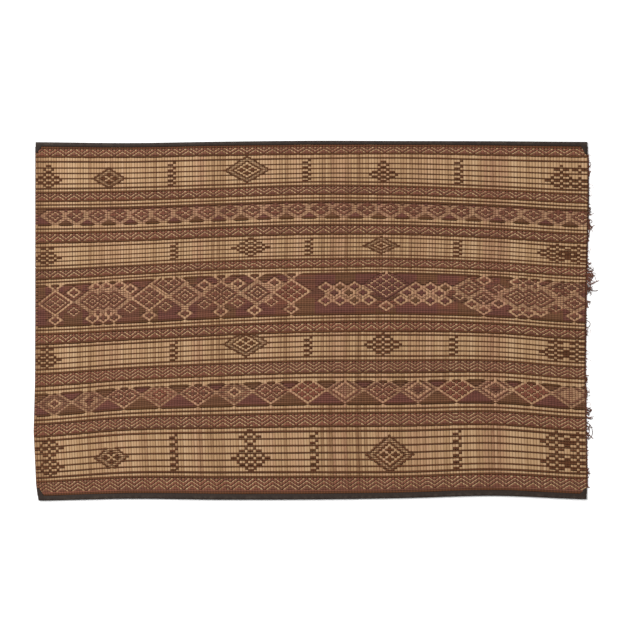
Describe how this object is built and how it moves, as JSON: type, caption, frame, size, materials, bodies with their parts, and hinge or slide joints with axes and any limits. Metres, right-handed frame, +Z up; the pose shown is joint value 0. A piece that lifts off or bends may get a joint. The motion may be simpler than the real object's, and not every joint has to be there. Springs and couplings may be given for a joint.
{
  "type": "tuareg mat of reeds and leather thongs",
  "caption": "Flat rectangular floor mat of straight reeds bound with banded, patterned leather thongs, with bound long edges and a ragged end.",
  "frame": {"origin": "middle of the footprint on the floor, fringe included", "axes": "+X along the mat towards the ragged thong ends, +Y across the mat along the reeds, +Z up off the floor"},
  "size_m": [1.2544, 0.796, 0.006],
  "materials": {
    "reed_straw": "dry golden-tan reed with a low sheen",
    "binding_leather": "worn black leather",
    "thong_leather": "dyed red-brown leather, dull"
  },
  "bodies": {
    "root": {"woven_mat": "reed_straw", "binding_top": "binding_leather", "binding_bottom": "binding_leather", "thong_fringe": "thong_leather"}
  },
  "joints": []
}
